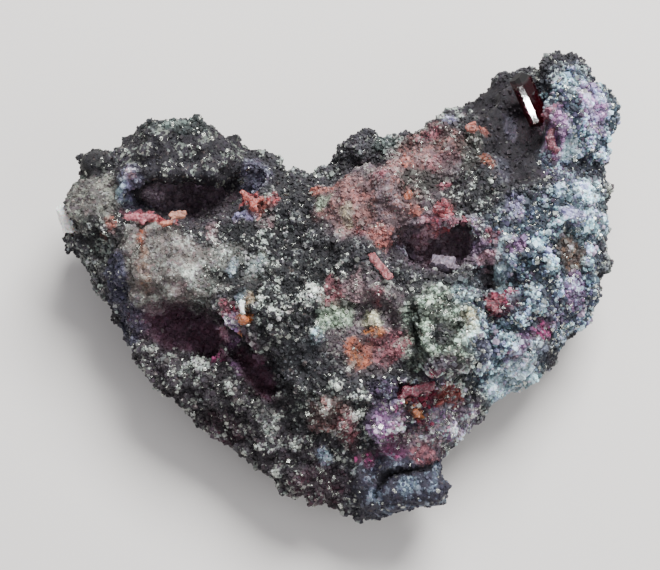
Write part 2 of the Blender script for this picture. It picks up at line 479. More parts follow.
rockSkin = {
    "voxel": 0.47,             # in mm
    # each relief: size of its pattern and height, in mm
    "swell": (7.0, 1.5),
    "chunks": (4.6, 1.3),
    "lumps": (2.1, 0.8),
    "grit": (1.0, 0.42),
    "fineGrit": (0.6, 0.22),
    "underGrit": (1.6, 0.5),
    "chunkSharp": 3.0,         # above 1 the tops of the chunks are cut flat
    "otherSharp": 2.4,         # the same for every other relief
    # the part of each relief that a smooth face loses
    "evenBroad": 0.85,
    "evenRough": 0.9,
    "evenGritty": 0.75,
    "footStart": 0.3,
    "footHeight": 1.4,         # the rough faces fade out this near the ground
    "grainStart": 0.9,         # no loose grain grows lower than this
    "calmShare": 0.93,         # the part of its loose grains that a calm face loses
    "knobCap": 0.7,            # how far the top of a knob counts as a ridge
    "furrowShade": 1.6,        # how far the bottom of a furrow counts as a crevice
    "furrowWaver": 0.4,        # how closely a furrow follows the ragged noise
    "furrowUp": 1.5,           # the larger, the steeper the faces that a furrow still cuts
    "ridge": 1.0,              # a face this far up or down counts as all ridge or all crevice
    "warp": (2.6, 1.1),
    "fineWarp": (0.8, 0.45),
    "edge": 0.45,              # softness of a spot's edge
    "reachDown": 5.0,          # a spot colours this far below or above the face it lies on
    "reachByWidth": 0.7,       # and further down by this part of its larger half width
    "reachInside": 3.4,        # but only this far where it gives its own height
    "lookFrom": 100,           # its height is found by looking down from here
    "missedHeight": 12.0,      # its height where there is no rock below
    "smoothAngle": 38,
    "luckOfShare": ((0, 0.1, 0.3, 0.5, 0.7, 0.9, 1), (0, 0.25, 0.4, 0.5, 0.6, 0.75, 1)),
}


def bodyOf(name):
    verts = [tuple(v.co) for v in nodes[name].data.vertices]
    faces = [tuple(p.vertices) for p in nodes[name].data.polygons]
    return BVHTree.FromPolygons(verts, faces)


def heightOnRock(tree, x, y):
    start = Vector((x * mm, y * mm, rockSkin["lookFrom"] * mm))
    place = tree.ray_cast(start, Vector((0, 0, -1)))[0]
    return place.z / mm if place else rockSkin["missedHeight"]


def pointsOf(thing):
    flat = np.empty(len(thing.data.vertices) * 3, np.float32)
    thing.data.vertices.foreach_get("co", flat)
    return flat.reshape(-1, 3).astype(float) / mm


def warped(points):
    # spots have ragged edges because they are looked up in a noisy copy of the points
    moved = points.copy()
    for size, height in (rockSkin["warp"], rockSkin["fineWarp"]):
        for row, point in zip(moved, points):
            row += np.array(noise.noise_vector(Vector(point) / size)) * height
    return moved


def spotWeight(points, spot):
    x, y, halfWidth, halfDepth, turn, strength = spot[:6]
    if len(spot) > 6:
        # its own height: it lies inside a hollow or on a wall, and colours nothing above that
        height, reach = spot[6], rockSkin["reachInside"]
    else:
        height = heightOnRock(rockTree, x, y)
        reach = rockSkin["reachDown"] + rockSkin["reachByWidth"] * max(halfWidth, halfDepth)
    c, s = math.cos(math.radians(turn)), math.sin(math.radians(turn))
    dx, dy = points[:, 0] - x, points[:, 1] - y
    along, across = dx * c + dy * s, dy * c - dx * s
    distance = np.sqrt((along / halfWidth) ** 2 + (across / halfDepth) ** 2)
    # full strength within half the reach, and none past one and a half
    lift = smooth(1.5 - np.abs(points[:, 2] - height) / reach)
    return smooth((1 - distance) / rockSkin["edge"] + 0.5) * lift * strength


def colourVerts(thing, lift):
    points = pointsOf(thing)
    lookUp = warped(points)
    count = len(points)
    base = stoneFinishes["charcoal"]
    ground = np.tile(linear(base["ground"]), (count, 1))
    pale = np.tile(linear(base["pale"]), (count, 1))
    numbers = {key: np.full(count, float(base[key]))
               for key in ("dust", "calm", "glint", "coarse", "tint")}
    for finish, *spot in stoneZones:
        look = stoneFinishes[finish]
        weight = spotWeight(lookUp, spot)
        ground += (np.array(linear(look["ground"])) - ground) * weight[:, None]
        pale += (np.array(linear(look["pale"])) - pale) * weight[:, None]
        for key, values in numbers.items():
            values += (look.get(key, base[key]) - values) * weight
    film = np.tile(linear(filmFinishes["noFilm"]["colour"]), (count, 1))
    share = np.zeros(count)
    crust = np.zeros(count)
    for finish, *spot in filmSpots:
        look = filmFinishes[finish]
        weight = spotWeight(lookUp, spot)
        mix = weight / np.maximum(weight + share * filmMixing["older"], 1e-4)
        mix[weight < filmMixing["least"]] = 0
        film += (np.array(linear(look["colour"])) - film) * mix[:, None]
        keep = 1 - look.get("fade", filmMixing["fade"]) * weight
        share = np.maximum(share * keep, look["share"] * weight)
        crust = np.maximum(crust * keep, look["crust"] * weight)
    foot = smooth((points[:, 2] - rockSkin["grainStart"]) / rockSkin["footHeight"])
    # clumped luck seldom reaches its ends, so a share is turned into the luck that gives it
    share = np.interp(share, *rockSkin["luckOfShare"])
    numbers["dust"] = np.interp(numbers["dust"], *rockSkin["luckOfShare"])
    for name, values in (("ground", np.column_stack((ground, numbers["glint"]))),
                         ("pale", np.column_stack((pale, numbers["dust"]))),
                         ("film", np.column_stack((film, share)))):
        layer = thing.data.color_attributes.new(name, "FLOAT_COLOR", "POINT")
        layer.data.foreach_set("color", values.astype(np.float32).ravel())
    for name, values in (("crust", crust * foot), ("coarse", numbers["coarse"]),
                         ("tint", numbers["tint"]),
                         ("ridge", np.clip(lift / rockSkin["ridge"], -1, 1)),
                         ("grainCover", foot * (1 - rockSkin["calmShare"] * numbers["calm"]))):
        layer = thing.data.attributes.new(name, "FLOAT", "POINT")
        layer.data.foreach_set("value", values.astype(np.float32))


def addGroup(thing, name, weights, steps=20):
    # points of nearly the same weight are added together, which is much faster
    group = thing.vertex_groups.new(name=name)
    levels = np.round(weights * steps).astype(int)
    for level in range(1, steps + 1):
        chosen = np.nonzero(levels == level)[0].tolist()
        if chosen:
            group.add(chosen, level / steps, "REPLACE")


def displace(thing, kind, size, height, group, midLevel=0.5, depth=2,
             sharp=rockSkin["otherSharp"]):
    pattern = bpy.data.textures.new(kind.lower(), kind)
    pattern.noise_scale = size * mm
    if kind == "CLOUDS":
        pattern.noise_depth = depth
    else:
        # the second nearest centre less the nearest: flat-sided chunks with creases between
        pattern.weight_1, pattern.weight_2 = -1, 1
        pattern.noise_intensity = sharp
    modifier = thing.modifiers.new("relief", "DISPLACE")
    modifier.texture = pattern
    modifier.texture_coords = "LOCAL"
    modifier.strength = height * mm
    modifier.mid_level = midLevel
    modifier.vertex_group = group


def addKnobs(rock):
    # the spheres are joined to the skin before it is meshed again, so that they grow into it
    tops = []
    for x, y, radius, rise in knobs:
        height = heightOnRock(rockTree, x, y) + rise
        tops.append((x, y, height, radius))
        deselectAll()
        bpy.ops.mesh.primitive_ico_sphere_add(subdivisions=2, radius=radius * mm,
                                              location=(x * mm, y * mm, (height - radius) * mm))
        rock.select_set(True)
        bpy.context.view_layer.objects.active = rock
        bpy.ops.object.join()
    return tops


def furrowWeight(points, path, halfWidth):
    nearest = np.full(len(points), np.inf)
    for start, end in zip(path[:-1], path[1:]):
        start, along = np.array(start), np.array(end) - np.array(start)
        part = np.clip(((points[:, :2] - start) @ along) / (along @ along), 0, 1)
        gap = np.linalg.norm(points[:, :2] - start - part[:, None] * along, axis=1)
        nearest = np.minimum(nearest, gap)
    # full depth along the middle, and none past 1.4 half widths
    return smooth(1.4 - nearest / halfWidth)


def makeRock():
    rock = copyOfSolid("rockSkin", "pyrite_matrix")
    tops = addKnobs(rock)
    addFineGrid(rock, rockSkin["voxel"])
    applyModifiers(rock)
    points = pointsOf(rock)
    outward = np.empty(len(points) * 3, np.float32)
    rock.data.vertex_normals.foreach_get("vector", outward)
    foot = smooth((points[:, 2] - rockSkin["footStart"]) / rockSkin["footHeight"])
    even = np.zeros(len(points))
    for finish, *spot in stoneZones:
        weight = spotWeight(points, spot)
        even += (stoneFinishes[finish].get("smooth", 0.0) - even) * weight
    addGroup(rock, "broad", foot * (1 - rockSkin["evenBroad"] * even))
    addGroup(rock, "rough", foot * (1 - rockSkin["evenRough"] * even))
    addGroup(rock, "gritty", foot * (1 - rockSkin["evenGritty"] * even))
    addGroup(rock, "under", 1 - foot)
    displace(rock, "CLOUDS", *rockSkin["swell"], "broad", depth=1)
    displace(rock, "VORONOI", *rockSkin["chunks"], "rough", midLevel=0.55,
             sharp=rockSkin["chunkSharp"])
    displace(rock, "VORONOI", *rockSkin["lumps"], "rough", midLevel=0.45)
    displace(rock, "VORONOI", *rockSkin["grit"], "gritty", midLevel=0.4)
    displace(rock, "CLOUDS", *rockSkin["fineGrit"], "gritty")
    displace(rock, "CLOUDS", *rockSkin["underGrit"], "under", midLevel=1.0)
    applyModifiers(rock)
    rock.vertex_groups.clear()
    shaped = pointsOf(rock)
    lift = ((shaped - points) * outward.reshape(-1, 3)).sum(axis=1)
    for x, y, height, radius in tops:
        gap = np.linalg.norm(points - (x, y, height), axis=1)
        lift += rockSkin["knobCap"] * smooth(1.4 - gap / radius)
    wavy = warped(points)
    facingUp = smooth(outward.reshape(-1, 3)[:, 2] * rockSkin["furrowUp"])
    waver = rockSkin["furrowWaver"]
    for path, halfWidth, depth in furrows:
        weight = furrowWeight(points * (1 - waver) + wavy * waver, path, halfWidth) * facingUp
        shaped[:, 2] -= depth * weight
        lift -= rockSkin["furrowShade"] * weight
    shaped[:, 2] = np.maximum(shaped[:, 2], 0.0)
    rock.data.vertices.foreach_set("co", (shaped * mm).astype(np.float32).ravel())
    colourVerts(rock, lift)
    pick(rock)
    bpy.ops.object.shade_smooth_by_angle(angle=math.radians(rockSkin["smoothAngle"]))
    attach(rock, "root")
    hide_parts("pyrite_matrix")
    print("rock skin:", triangleCount(rock), "triangles")
    return rock


rockTree = bodyOf("pyrite_matrix")
rock = makeRock()


# the dull crystals and the calcite, chipped and etched

chippedSkin = {
    "voxel": 0.19,
    # size of the pattern and height, in mm
    "chips": (1.1, 0.28),
    "steps": (0.55, 0.16),
    "pits": (0.3, 0.08),
    "smoothAngle": 22,
    # how far the skin lies inside its solid, in mm
    "worn": {"realgar_middle_blade": 0.12, "realgar_middle_block": 0.1},
}


def makeWeathered(name):
    piece = copyOfSolid(name + "_skin", name)
    addFineGrid(piece, chippedSkin["voxel"])
    if name in chippedSkin["worn"]:
        shrunk = piece.modifiers.new("worn", "DISPLACE")
        shrunk.strength = -chippedSkin["worn"][name] * mm
        shrunk.mid_level = 0.0
    displace(piece, "VORONOI", *chippedSkin["chips"], "", midLevel=0.5)
    displace(piece, "VORONOI", *chippedSkin["steps"], "", midLevel=0.5)
    displace(piece, "CLOUDS", *chippedSkin["pits"], "", midLevel=0.5)
    applyModifiers(piece)
    bpy.ops.object.shade_smooth_by_angle(angle=math.radians(chippedSkin["smoothAngle"]))
    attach(piece, "root")
    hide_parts(name)
    return piece


weathered = {name: makeWeathered(name) for name in nodes
             if name not in ("pyrite_matrix", "realgar_main_crystal")}
print("chipped crystals:", sum(triangleCount(piece) for piece in weathered.values()), "triangles")


# the one clear crystal

clearCrystal = {
    "name": "realgar_main_crystal",
    "flat": 2,                 # faces that meet at less than this many degrees become one
    "edge": 0.13,              # width of the worn edges, in mm
    "edgeRows": 2,
    "edgeAngle": 12,           # only edges that turn by more degrees than this are worn
}


def makeClear():
    piece = copyOfSolid("clearCrystal", clearCrystal["name"])
    bpy.ops.object.mode_set(mode="EDIT")
    bpy.ops.mesh.select_all(action="SELECT")
    bpy.ops.mesh.dissolve_limited(angle_limit=math.radians(clearCrystal["flat"]))
    bpy.ops.object.mode_set(mode="OBJECT")
    edges = piece.modifiers.new("wornEdges", "BEVEL")
    edges.width = clearCrystal["edge"] * mm
    edges.segments = clearCrystal["edgeRows"]
    edges.limit_method = "ANGLE"
    edges.angle_limit = math.radians(clearCrystal["edgeAngle"])
    applyModifiers(piece)
    # the renderer would let no light through it and throw a black shadow into the trough
    piece.visible_shadow = False
    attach(piece, "root")
    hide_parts(clearCrystal["name"])
    return piece


clearPiece = makeClear()
print("clear crystal:", triangleCount(clearPiece), "triangles")


# loose shapes that the scatters copy

def finishShape(name, size):
    shape = bpy.context.object
    shape.name = name
    bpy.ops.transform.resize(value=size)
    bpy.ops.object.transform_apply(location=True, rotation=True, scale=True)
    return shape


def cubeGrain():
    deselectAll()
    bpy.ops.mesh.primitive_cube_add(size=1)
    return finishShape("cubeShape", (1, 0.92, 0.85))


def cutCubeGrain():
    deselectAll()
    bpy.ops.mesh.primitive_cube_add(size=1.15)
    bpy.ops.object.mode_set(mode="EDIT")
    bpy.ops.mesh.select_all(action="SELECT")
    bpy.ops.mesh.bevel(offset_pct=50, offset_type="PERCENT", affect="VERTICES", segments=1)
    bpy.ops.mesh.remove_doubles(threshold=0.02)
    bpy.ops.object.mode_set(mode="OBJECT")
    return finishShape("cutCubeShape", (1, 0.9, 0.8))


def octahedronGrain():
    deselectAll()
    bpy.ops.mesh.primitive_uv_sphere_add(segments=4, ring_count=2, radius=0.62)
    return finishShape("octahedronShape", (1, 0.9, 0.95))


def prismGrain():
    # a short realgar prism with a sloped end
    deselectAll()
    bpy.ops.mesh.primitive_cylinder_add(vertices=5, radius=0.3, depth=1.3)
    bpy.ops.object.mode_set(mode="EDIT")
    bpy.ops.mesh.select_all(action="SELECT")
    bpy.ops.mesh.bisect(plane_co=(0, 0, 0.42), plane_no=(0.55, 0.2, 0.8), clear_outer=True,
                        use_fill=True)
    bpy.ops.object.mode_set(mode="OBJECT")
    return finishShape("prismShape", (1, 0.75, 1))


def bladeGrain():
    deselectAll()
    bpy.ops.mesh.primitive_cube_add(size=1)
    bpy.ops.object.mode_set(mode="EDIT")
    bpy.ops.mesh.select_all(action="SELECT")
    bpy.ops.mesh.bisect(plane_co=(0.3, 0, 0.1), plane_no=(0.8, 0.1, 0.5), clear_outer=True,
                        use_fill=True)
    bpy.ops.object.mode_set(mode="OBJECT")
    return finishShape("bladeShape", (1.5, 0.9, 0.32))


# scatter: one node tree per piece, applied so that every grain is real mesh

upSoftness = 0.35              # how gradually grains thin out as a face turns down
# each of these is added to a scatter's own seed
seedSteps = {"size": 1, "turn": 2, "grain": 11, "speck": 12}


def scatter(name, shape, look):
    tree = bpy.data.node_groups.new(name, "GeometryNodeTree")
    tree.interface.new_socket("Geometry", in_out="INPUT", socket_type="NodeSocketGeometry")
    tree.interface.new_socket("Geometry", in_out="OUTPUT", socket_type="NodeSocketGeometry")
    make, link = tree.nodes.new, tree.links.new

    def randomValue(low, high, seed, kind="FLOAT"):
        node = make("FunctionNodeRandomValue")
        node.data_type = kind
        first = 0 if kind == "FLOAT_VECTOR" else 2
        node.inputs[first].default_value = low
        node.inputs[first + 1].default_value = high
        node.inputs["Seed"].default_value = seed
        return node.outputs[0 if kind == "FLOAT_VECTOR" else 1]

    def readNumber(attribute):
        node = make("GeometryNodeInputNamedAttribute")
        node.data_type = "FLOAT"
        node.inputs["Name"].default_value = attribute
        return node.outputs["Attribute"]

    def arithmetic(operation, first, second):
        node = make("ShaderNodeMath")
        node.operation = operation
        for socket, value in zip(node.inputs, (first, second)):
            if isinstance(value, (int, float)):
                socket.default_value = value
            else:
                link(value, socket)
        return node.outputs[0]

    points = make("GeometryNodeDistributePointsOnFaces")
    points.distribute_method = "POISSON"
    points.inputs["Distance Min"].default_value = look["spacing"] * mm
    points.inputs["Density Max"].default_value = look["perSquareMm"] * 1e6
    points.inputs["Seed"].default_value = look["seed"]
    cover = readNumber(look["where"])
    if "upOnly" in look:
        facing = make("ShaderNodeSeparateXYZ")
        link(make("GeometryNodeInputNormal").outputs[0], facing.inputs[0])
        turned = make("ShaderNodeMapRange")
        link(facing.outputs["Z"], turned.inputs["Value"])
        turned.inputs["From Min"].default_value = look["upOnly"]
        turned.inputs["From Max"].default_value = look["upOnly"] + upSoftness
        turned.inputs["To Min"].default_value = look.get("sideShare", 0.0)
        cover = arithmetic("MULTIPLY", cover, turned.outputs[0])
    link(make("NodeGroupInput").outputs[0], points.inputs["Mesh"])
    link(cover, points.inputs["Density Factor"])

    tagged = points.outputs["Points"]
    for attribute in ("grain", "speck"):
        store = make("GeometryNodeStoreNamedAttribute")
        store.data_type = "FLOAT"
        store.domain = "POINT"
        store.inputs["Name"].default_value = attribute
        link(tagged, store.inputs["Geometry"])
        link(randomValue(0.0, 1.0, look["seed"] + seedSteps[attribute]), store.inputs["Value"])
        tagged = store.outputs["Geometry"]

    shapeInfo = make("GeometryNodeObjectInfo")
    shapeInfo.inputs["Object"].default_value = shape
    onPoints = make("GeometryNodeInstanceOnPoints")
    link(tagged, onPoints.inputs["Points"])
    link(shapeInfo.outputs["Geometry"], onPoints.inputs["Instance"])

    small, large = look["size"]
    pickSize = arithmetic("POWER", randomValue(0.0, 1.0, look["seed"] + seedSteps["size"]),
                          look["bias"])
    size = arithmetic("ADD", arithmetic("MULTIPLY", pickSize, (large - small) * mm), small * mm)
    link(arithmetic("MULTIPLY", size, readNumber("coarse")), onPoints.inputs["Scale"])

    tilt = look.get("tilt", math.pi)
    spin = make("FunctionNodeRotateRotation")
    spin.rotation_space = "LOCAL"
    link(points.outputs["Rotation"], spin.inputs[0])
    link(randomValue((-tilt, -tilt, -math.pi), (tilt, tilt, math.pi),
                     look["seed"] + seedSteps["turn"], "FLOAT_VECTOR"), spin.inputs[1])
    link(spin.outputs[0], onPoints.inputs["Rotation"])

    real = make("GeometryNodeRealizeInstances")
    link(onPoints.outputs[0], real.inputs[0])
    link(real.outputs[0], make("NodeGroupOutput").inputs[0])

    piece = newPiece(name, rock.data)
    modifier = piece.modifiers.new("scatter", "NODES")
    modifier.node_group = tree
    applyModifiers(piece)
    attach(piece, "root")
    print(name, triangleCount(piece), "triangles")
    return piece


# where is the attribute that says how thickly they lie, spacing and size are in mm, a higher bias
# means fewer large ones, and tilt is in radians. Where a face looks up by less than upOnly, from
# 1 for straight up to -1 for straight down, only sideShare of them lie
grainLooks = {
    "pyriteCubes": dict(where="grainCover", spacing=1.0, perSquareMm=0.9, size=(0.4, 0.85),
                        bias=2.6, seed=3, slot="pyrite", upOnly=-0.3, sideShare=0.5),
    "pyriteCutCubes": dict(where="grainCover", spacing=0.8, perSquareMm=1.4, size=(0.34, 0.72),
                           bias=2.0, seed=21, slot="pyrite", upOnly=-0.3, sideShare=0.5),
    "pyriteSmall": dict(where="grainCover", spacing=0.52, perSquareMm=2.4, size=(0.34, 0.62),
                        bias=1.5, seed=41, slot="pyrite", upOnly=-0.2, sideShare=0.15),
    "pyriteFine": dict(where="grainCover", spacing=0.46, perSquareMm=3.2, size=(0.28, 0.5),
                       bias=1.2, seed=61, slot="pyrite", upOnly=0.1),
}
crustLooks = {
    "realgarPrisms": dict(where="crust", spacing=0.55, perSquareMm=2.6, size=(0.45, 1.1),
                          bias=2.4, seed=81, slot="realgar", tilt=1.3),
    "realgarFlakes": dict(where="crust", spacing=0.7, perSquareMm=1.4, size=(0.4, 0.95),
                          bias=1.8, seed=91, slot="realgar", tilt=0.7),
}

shapes = {"pyriteCubes": cubeGrain(), "pyriteCutCubes": cutCubeGrain(),
          "pyriteSmall": octahedronGrain(), "pyriteFine": octahedronGrain(),
          "realgarPrisms": prismGrain(), "realgarFlakes": bladeGrain()}
grains = [scatter(name, shapes[name], look) for name, look in grainLooks.items()]
crusts = [scatter(name, shapes[name], look) for name, look in crustLooks.items()]
for shape in shapes.values():
    bpy.data.objects.remove(shape)


# materials

def newMaterial(name):
    material = bpy.data.materials.new(name)
    material.use_nodes = True
    tree = material.node_tree
    tree.nodes.clear()
    output = tree.nodes.new("ShaderNodeOutputMaterial")
    shader = tree.nodes.new("ShaderNodeBsdfPrincipled")
    tree.links.new(shader.outputs[0], output.inputs["Surface"])
    return material, tree, shader


class Wires:
    # short names for the nodes that every material here uses
    def __init__(self, tree):
        self.tree = tree

    def node(self, kind, **inputs):
        made = self.tree.nodes.new(kind)
        for name, value in inputs.items():
            self.plug(made.inputs[name], value)
        return made

    def plug(self, socket, value):
        if isinstance(value, bpy.types.NodeSocket):
            self.tree.links.new(value, socket)
        else:
            socket.default_value = value

    def maths(self, operation, first, second=0.5):
        made = self.tree.nodes.new("ShaderNodeMath")
        made.operation = operation
        self.plug(made.inputs[0], first)
        self.plug(made.inputs[1], second)
        return made.outputs[0]

    def below(self, value, limit, softness):
        # 1 where value is under limit
        made = self.node("ShaderNodeMapRange", Value=self.maths("SUBTRACT", limit, value))
        made.inputs["From Min"].default_value = -softness
        made.inputs["From Max"].default_value = softness
        return made.outputs[0]

    def mixed(self, amount, first, second, blend="MIX"):
        made = self.tree.nodes.new("ShaderNodeMix")
        made.data_type = "RGBA"
        made.blend_type = blend
        self.plug(made.inputs[0], amount)
        self.plug(made.inputs[6], first)
        self.plug(made.inputs[7], second)
        return made.outputs[2]

    def ranged(self, value, low, high, start=0.0, end=1.0):
        made = self.node("ShaderNodeMapRange", Value=value)
        made.inputs["From Min"].default_value = start
        made.inputs["From Max"].default_value = end
        made.inputs["To Min"].default_value = low
        made.inputs["To Max"].default_value = high
        return made.outputs[0]

    def attribute(self, name):
        made = self.tree.nodes.new("ShaderNodeAttribute")
        made.attribute_name = name
        return made.outputs

    def objectPoint(self):
        return self.tree.nodes.new("ShaderNodeTexCoord").outputs["Object"]

    def noise(self, size, detail=2.0, rough=0.5):
        return self.node("ShaderNodeTexNoise", Vector=self.objectPoint(), Scale=1 / (size * mm),
                         Detail=detail, Roughness=rough).outputs["Fac"]

    def cells(self, size):
        made = self.node("ShaderNodeTexVoronoi", Vector=self.objectPoint(),
                         Scale=1 / (size * mm))
        return made.outputs

    def bump(self, height, distance, strength=0.6):
        return self.node("ShaderNodeBump", Height=height, Distance=distance * mm,
                         Strength=strength).outputs[0]

    def steps(self, value, rows):
        ramp = self.node("ShaderNodeValToRGB", Fac=value)
        ramp.color_ramp.interpolation = "CONSTANT"
        for place, code in rows[1:]:
            ramp.color_ramp.elements.new(place)
        ramp.color_ramp.elements.remove(ramp.color_ramp.elements[-1])
        for element, (place, code) in zip(ramp.color_ramp.elements, rows):
            element.position = place
            element.color = opaque(code)
        return ramp.outputs["Color"]

    def grey(self, value):
        made = self.node("ShaderNodeCombineColor", Red=value, Green=value, Blue=value)
        return made.outputs[0]


stoneLook = {
    "roughness": (0.45, 0.8),
    "metal": 0.15,
    "specular": 0.3,
    "brightness": 1.45,
    "glintColour": "b4b7ae",
    "grainSpread": (0.66, 1.3),   # how much one grain differs from the next
    "crevice": 0.55,               # brightness at the bottom of a crevice
    "crest": 1.12,
    "creviceRange": (-0.9, 0.5),   # from the bottom of a crevice to the crest
    "dustByRidge": (0.45, 1.3, -1.0, 0.9),     # less dust in crevices and more on ridges
    "paleSoftness": 0.10,
    "filmSoftness": 0.2,
    "glintSoftness": 0.01,
    "filmCover": 0.85,             # how well a film hides the grain that takes it
    "wash": 0.5,                   # part of a film that tints all the grains alike
    "clump": 0.5,                  # part of a grain's luck that it shares with its neighbours
    "dustClump": 2.1,              # size of the clumps, in mm
    "filmClump": 1.9,
    "mosaic": 0.55,                # size of the grains that are only colour, in mm
    "mottle": (0.72, 1.28, 0.3, 0.7),          # light and dark within a grain
    "glintCover": 0.8,
    "glintGloss": 0.4,
    "looseBump": 0.12,             # height of the finest relief, in mm
    "groundBump": 0.3,
    # what single grains stray towards, and how many of them do
    "strayTints": ((0.0, "e4fffa"), (0.3, "f4f8f2"), (0.6, "f6f4f4"), (0.72, "dfe9ff"),
                   (0.84, "f3dcff"), (0.94, "ffcfdc")),
}


def stoneMaterial(name, loose):
    material, tree, shader = newMaterial(name)
    w = Wires(tree)
    if loose:
        first, second = w.attribute("grain")["Fac"], w.attribute("speck")["Fac"]
    else:
        mosaic = w.node("ShaderNodeSeparateColor", Color=w.cells(stoneLook["mosaic"])["Color"])
        first, second = mosaic.outputs["Red"], mosaic.outputs["Green"]
    ground, pale, film = w.attribute("ground"), w.attribute("pale"), w.attribute("film")
    ridge = w.attribute("ridge")["Fac"]
    clump = stoneLook["clump"]

    def again(number, times):
        # one random number gives another, from 0 to 1 as well
        return w.maths("FRACT", w.maths("MULTIPLY", number, times))

    def luck(own, size):
        shared = w.ranged(w.noise(size, 4.0, 0.6), 0.0, clump, 0.32, 0.68)
        return w.maths("ADD", shared, w.maths("MULTIPLY", own, 1 - clump))

    dust = w.maths("MULTIPLY", pale["Alpha"], w.ranged(ridge, *stoneLook["dustByRidge"]))
    isPale = w.below(luck(first, stoneLook["dustClump"]), dust, stoneLook["paleSoftness"])
    isFilm = w.below(luck(second, stoneLook["filmClump"]), film["Alpha"],
                     stoneLook["filmSoftness"])
    stray = w.steps(again(second, 9.1), stoneLook["strayTints"])
    isGlint = w.below(again(first, 17.3), ground["Alpha"], stoneLook["glintSoftness"])
    stone = w.mixed(isPale, ground["Color"], pale["Color"])
    stone = w.mixed(w.attribute("tint")["Fac"], stone, w.mixed(1.0, stone, stray, "MULTIPLY"))
    wash = w.maths("MULTIPLY", film["Alpha"], stoneLook["wash"])
    filmAmount = w.maths("MAXIMUM", w.maths("MULTIPLY", isFilm, stoneLook["filmCover"]), wash)
    coloured = w.mixed(filmAmount, stone, film["Color"])
    shade = w.maths("MULTIPLY", w.ranged(again(first, 7.3), *stoneLook["grainSpread"]),
                    w.ranged(w.noise(0.4, 3.0, 0.6), *stoneLook["mottle"]))
    shade = w.maths("MULTIPLY", shade, w.ranged(ridge, stoneLook["crevice"], stoneLook["crest"],
                                                *stoneLook["creviceRange"]))
    shade = w.maths("MULTIPLY", shade, stoneLook["brightness"])
    toned = w.mixed(1.0, coloured, w.grey(shade), "MULTIPLY")
    w.plug(shader.inputs["Base Color"], w.mixed(w.maths("MULTIPLY", isGlint,
                                                        stoneLook["glintCover"]),
                                                toned, opaque(stoneLook["glintColour"])))
    w.plug(shader.inputs["Metallic"], w.ranged(isGlint, stoneLook["metal"], 1.0))
    rough = w.ranged(w.noise(0.5, 3.0), *stoneLook["roughness"])
    w.plug(shader.inputs["Roughness"],
           w.maths("MULTIPLY", rough, w.ranged(isGlint, 1.0, stoneLook["glintGloss"])))
    w.plug(shader.inputs["Specular IOR Level"], stoneLook["specular"])
    fine = w.maths("ADD", w.noise(0.16, 3.0, 0.65), w.noise(0.5, 2.0))
    height = stoneLook["looseBump" if loose else "groundBump"]
    w.plug(shader.inputs["Normal"], w.bump(fine, height))
    return material


crustLook = {
    "dusty": (0.1, 0.9, 0.3, 0.7), # least and most dust on a small crystal
    "dustStrength": 0.6,           # how far dust turns it to the colour of the stone
    "spread": (0.75, 1.5),         # how much one crystal differs from the next
    "roughness": (0.25, 0.6),
    "bump": 0.06,
}


def crustMaterial():
    material, tree, shader = newMaterial("realgarCrust")
    w = Wires(tree)
    film, ground = w.attribute("film"), w.attribute("ground")
    grain = w.attribute("grain")["Fac"]
    dusty = w.ranged(w.maths("ADD", w.maths("MULTIPLY", grain, 0.5),
                             w.maths("MULTIPLY", w.noise(0.9, 3.0), 0.5)), *crustLook["dusty"])
    dustColour = w.mixed(crustLook["dustStrength"], film["Color"], ground["Color"])
    body = w.mixed(dusty, film["Color"], dustColour)
    shade = w.ranged(w.maths("FRACT", w.maths("MULTIPLY", grain, 5.7)), *crustLook["spread"])
    w.plug(shader.inputs["Base Color"], w.mixed(1.0, body, w.grey(shade), "MULTIPLY"))
    w.plug(shader.inputs["Roughness"], w.ranged(w.noise(0.3), *crustLook["roughness"]))
    w.plug(shader.inputs["Normal"], w.bump(w.noise(0.14, 3.0), crustLook["bump"]))
    return material


crystalColours = {
    # deep, bright, roughness, how much stone dust lies on it
    "realgar_middle_block": ("5d525c", "80778a", 0.5, 0.55),
    "realgar_middle_blade": ("7a3d41", "ad6a6c", 0.45, 0.45),
    "realgar_ledge_blade_1": ("84513f", "b27d68", 0.4, 0.3),
    "realgar_ledge_blade_2": ("8f4c3a", "b97259", 0.4, 0.35),
    "realgar_ledge_cluster": ("8a3f47", "b56d77", 0.4, 0.4),
    "realgar_saddle_cluster": ("84332f", "b15d4d", 0.4, 0.5),
    "realgar_rim_cluster": ("5e2029", "8e444c", 0.35, 0.5),
    "realgar_rim_crystal": ("84452f", "a96349", 0.4, 0.4),
    "realgar_flank_cluster": ("4a1722", "7c2e3b", 0.3, 0.6),
    "realgar_lobe_cluster": ("622c38", "8a5560", 0.4, 0.55),
    "realgar_toe_cluster": ("4c1926", "7d2b40", 0.3, 0.5),
    "realgar_toe_crystal": ("94512f", "b77040", 0.4, 0.4),
    "realgar_patch_crystal": ("94502e", "bb6c38", 0.4, 0.35),
    "realgar_boss_crystal": ("864a3d", "a96b5b", 0.45, 0.45),
}


crystalWear = {
    "flaw": "c3a3a6",
    "flawShare": 0.42,
    "flawCover": 0.45,
    "speck": "453b3f",
    "speckShare": (0.3, 0.6),      # for a crystal with no stone dust, and for one full of it
    "speckCover": 0.75,
    "softness": 0.05,
    "roughnessSpread": (-0.1, 0.25),
    "bump": 0.12,
}


